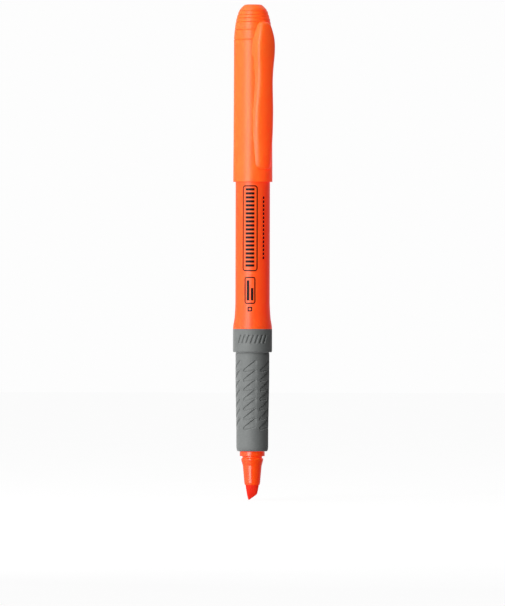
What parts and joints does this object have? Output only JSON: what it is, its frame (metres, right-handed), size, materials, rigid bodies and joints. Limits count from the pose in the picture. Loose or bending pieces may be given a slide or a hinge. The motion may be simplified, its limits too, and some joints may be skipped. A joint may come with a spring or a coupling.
{
  "type": "highlighter pen",
  "caption": "Slim highlighter pen standing on its slanted chisel nib, with a ribbed rubber grip, a straight printed barrel and a clipped cap pushed onto its tail.",
  "frame": {"origin": "on the pen's axis, level with the lowest point of the writing tip, where the tip meets the paper", "axes": "+Z along the pen's axis from the writing tip to the top of the posted cap; -Y out of the printed front of the barrel and the broad face of the chisel nib; +X to the right seen from the front, the side of the chisel nib's short edge"},
  "size_m": [0.0127, 0.0135, 0.1486],
  "materials": {
    "barrel_plastic": "satin, moulded, fluorescent orange",
    "cap_plastic": "satin, moulded, fluorescent orange, a little see-through",
    "plug_plastic": "satin, moulded",
    "holder_plastic": "glossy, moulded, red-orange",
    "inner_cap_plastic": "waxy, uncoloured, moulded",
    "grip_rubber": "matt, soft, grey",
    "nib_fibre": "bonded fibre, soaked in fluorescent orange ink",
    "reservoir_fibre": "spun fibre bundle, soaked in ink",
    "clear_film": "thin clear film"
  },
  "bodies": {
    "pen": {"barrel": "barrel_plastic", "tail_plug": "plug_plastic", "grip_sleeve": "grip_rubber", "nib_holder": "holder_plastic", "chisel_nib": "nib_fibre", "ink_reservoir": "reservoir_fibre", "reservoir_film": "clear_film"},
    "cap_liner": {"inner_cap": "inner_cap_plastic"},
    "cap": {"cap_shell": "cap_plastic"},
    "clip": {"pocket_clip": "cap_plastic"}
  },
  "joints": [
    {"name": "cap_slide", "type": "slide", "parent": "pen", "child": "cap_liner", "axis": [0, 0, 1], "range_m": [0, 0.045]},
    {"name": "cap_twist", "type": "hinge", "parent": "cap_liner", "child": "cap", "pos_m": [0, 0, 0.1355], "axis": [0, 0, 1], "continuous": true},
    {"name": "clip_flex", "type": "hinge", "parent": "cap", "child": "clip", "pos_m": [0.00404, -0.00537, 0.1332], "axis": [-0.7986, -0.6018, 0], "range_deg": [0, 5], "stiffness_Nm_per_rad": 2}
  ]
}
